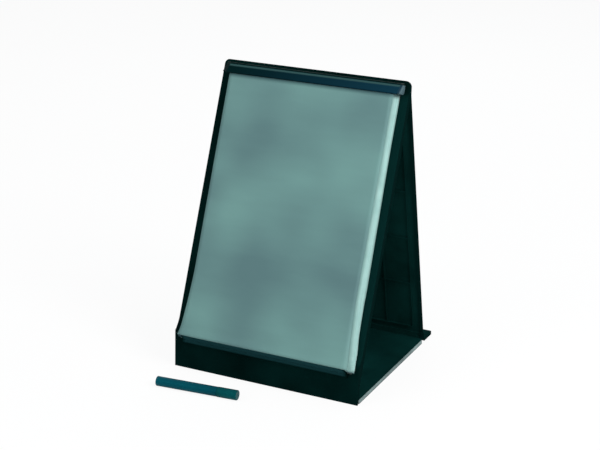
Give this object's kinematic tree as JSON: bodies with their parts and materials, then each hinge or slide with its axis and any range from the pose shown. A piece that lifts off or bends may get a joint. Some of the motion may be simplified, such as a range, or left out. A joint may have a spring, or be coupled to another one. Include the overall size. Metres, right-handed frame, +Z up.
{
  "type": "tabletop flipchart",
  "caption": "Tabletop easel flipchart: leaning board with a clamped paper pad, hinged rear panel and base plate, and a felt marker.",
  "frame": {"origin": "centre of the base plate's underside, on the table", "axes": "+X to the reader's right, +Y from the reader to the rear panel, +Z up"},
  "size_m": [0.33, 0.3887, 0.4759],
  "materials": {
    "shell_plastic": "moulded satin",
    "paper_edge": "stacked sheets",
    "sheet_paper": "drawing paper",
    "card": "grey board",
    "binding_tape": "cloth tape",
    "clamp_plastic": "moulded satin",
    "rubber_black": "matt rubber",
    "pin_steel": "drawn wire",
    "leaf_steel": "black coated",
    "base_core": "dense board",
    "base_deck": "laminate",
    "mat": "foam",
    "marker_plastic": "gloss",
    "marker_cap_plastic": "gloss",
    "nib_felt": "felt",
    "reservoir_fibre": "bonded fibre",
    "nib_holder_plastic": "satin"
  },
  "bodies": {
    "front_board": {"front_shell": "shell_plastic", "apex_hinge_pins": "pin_steel", "base_hinge_pins": "pin_steel", "clamp_pivot_rod": "pin_steel", "clamp_springs": "pin_steel", "pad_backing_card": "card", "pad_block": "paper_edge", "pad_head_binding": "binding_tape"},
    "base_plate": {"base_mat": "mat", "base_core": "base_core", "base_deck": "base_deck", "base_hinge_leaves": "leaf_steel", "base_hinge_screws": "pin_steel"},
    "rear_panel": {"rear_shell": "shell_plastic", "rear_foot_strips": "rubber_black"},
    "clamp": {"clamp_bar": "clamp_plastic", "clamp_grip_strip": "rubber_black", "clamp_end_caps": "clamp_plastic"},
    "sheet": {"top_sheet": "sheet_paper"},
    "marker": {"marker_barrel": "marker_plastic", "marker_end_plug": "marker_plastic", "marker_ink_reservoir": "reservoir_fibre", "marker_nib_holder": "nib_holder_plastic", "marker_nib": "nib_felt"},
    "cap": {"marker_cap": "marker_cap_plastic"}
  },
  "joints": [
    {"name": "base_fold", "type": "hinge", "parent": "front_board", "child": "base_plate", "pos_m": [0, -0.12875, 0.0108], "axis": [1, 0, 0], "range_deg": [0, 66]},
    {"name": "rear_fold", "type": "hinge", "parent": "front_board", "child": "rear_panel", "pos_m": [0, 0.05547, 0.4643], "axis": [1, 0, 0], "range_deg": [0, 146]},
    {"name": "clamp_open", "type": "hinge", "parent": "front_board", "child": "clamp", "pos_m": [0, 0.04415, 0.46964], "axis": [-1, 0, 0], "range_deg": [0, 50], "stiffness_Nm_per_rad": 0.3, "springref_deg": -22.92},
    {"name": "sheet_flip", "type": "hinge", "parent": "front_board", "child": "sheet", "pos_m": [0, 0.02731, 0.45887], "axis": [-1, 0, 0], "range_deg": [0, 120]},
    {"name": "marker_lift", "type": "slide", "parent": "front_board", "child": "marker", "axis": [0, 0, 1], "range_m": [0, 0.12]},
    {"name": "cap_pull", "type": "slide", "parent": "marker", "child": "cap", "axis": [0.9963, 0.0854, 0], "range_m": [0, 0.045]}
  ]
}
